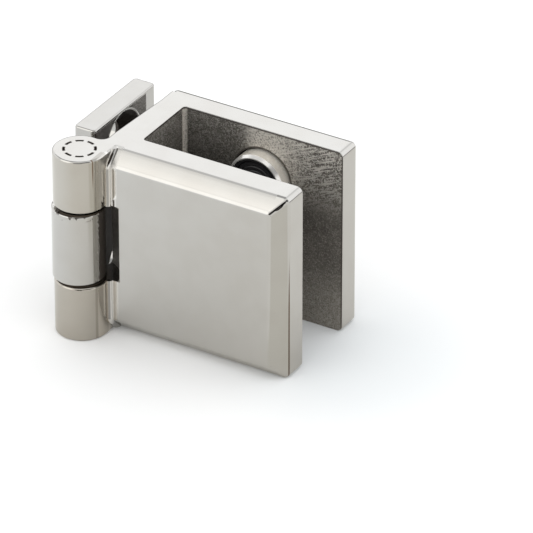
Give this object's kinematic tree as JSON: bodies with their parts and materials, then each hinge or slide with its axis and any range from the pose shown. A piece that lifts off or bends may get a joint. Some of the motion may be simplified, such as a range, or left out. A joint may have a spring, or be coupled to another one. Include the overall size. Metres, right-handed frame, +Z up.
{
  "type": "glass door clamp hinge",
  "caption": "Polished cast hinge whose bevelled U-shaped clamp grips a glass door and turns about an upright pin on a screw-on leaf.",
  "frame": {"origin": "middle of the leaf's back face, halfway between its two screw holes", "axes": "+X from the cabinet side along the closed door, +Y away from the pin along the leaf, +Z up along the pin"},
  "size_m": [0.0374, 0.028, 0.03],
  "materials": {
    "polished_casting": "mirror polished outside, dull as cast inside the slot",
    "polished_pin": "polished flush with the knuckles",
    "washer_steel": "plain rolled",
    "screw_steel": "plain turned",
    "cup_steel": "bead blasted with a bright turned rim",
    "pad_rubber": "moulded black"
  },
  "bodies": {
    "leaf": {"leaf": "polished_casting", "upper_washer": "washer_steel"},
    "clamp": {"glass_clamp": "polished_casting", "hinge_pin": "polished_pin", "lower_washer": "washer_steel"},
    "upper_pad": {"upper_pad_cup": "cup_steel", "upper_rubber_pad": "pad_rubber"},
    "lower_pad": {"lower_pad_cup": "cup_steel", "lower_rubber_pad": "pad_rubber"},
    "upper_screw": {"upper_clamp_screw": "screw_steel"},
    "lower_screw": {"lower_clamp_screw": "screw_steel"}
  },
  "joints": [
    {"name": "door_swing", "type": "hinge", "parent": "leaf", "child": "clamp", "pos_m": [0.0043, -0.013, 0], "axis": [0, 0, -1], "range_deg": [-6, 180]},
    {"name": "upper_pad_slide", "type": "slide", "parent": "clamp", "child": "upper_pad", "axis": [0, -1, 0], "range_m": [-0.001, 0.0015]},
    {"name": "lower_pad_slide", "type": "slide", "parent": "clamp", "child": "lower_pad", "axis": [0, -1, 0], "range_m": [-0.001, 0.0015]},
    {"name": "upper_screw_turn", "type": "hinge", "parent": "upper_pad", "child": "upper_screw", "pos_m": [0.0239, 0.008, 0.007], "axis": [0, -1, 0], "range_deg": [-361, 541]},
    {"name": "lower_screw_turn", "type": "hinge", "parent": "lower_pad", "child": "lower_screw", "pos_m": [0.0239, 0.008, -0.007], "axis": [0, -1, 0], "range_deg": [-361, 541]}
  ],
  "couplings": [
    {"joint": "upper_screw_turn", "follows": "upper_pad_slide", "rad_per_m": 6283.2},
    {"joint": "lower_screw_turn", "follows": "lower_pad_slide", "rad_per_m": 6283.2}
  ]
}
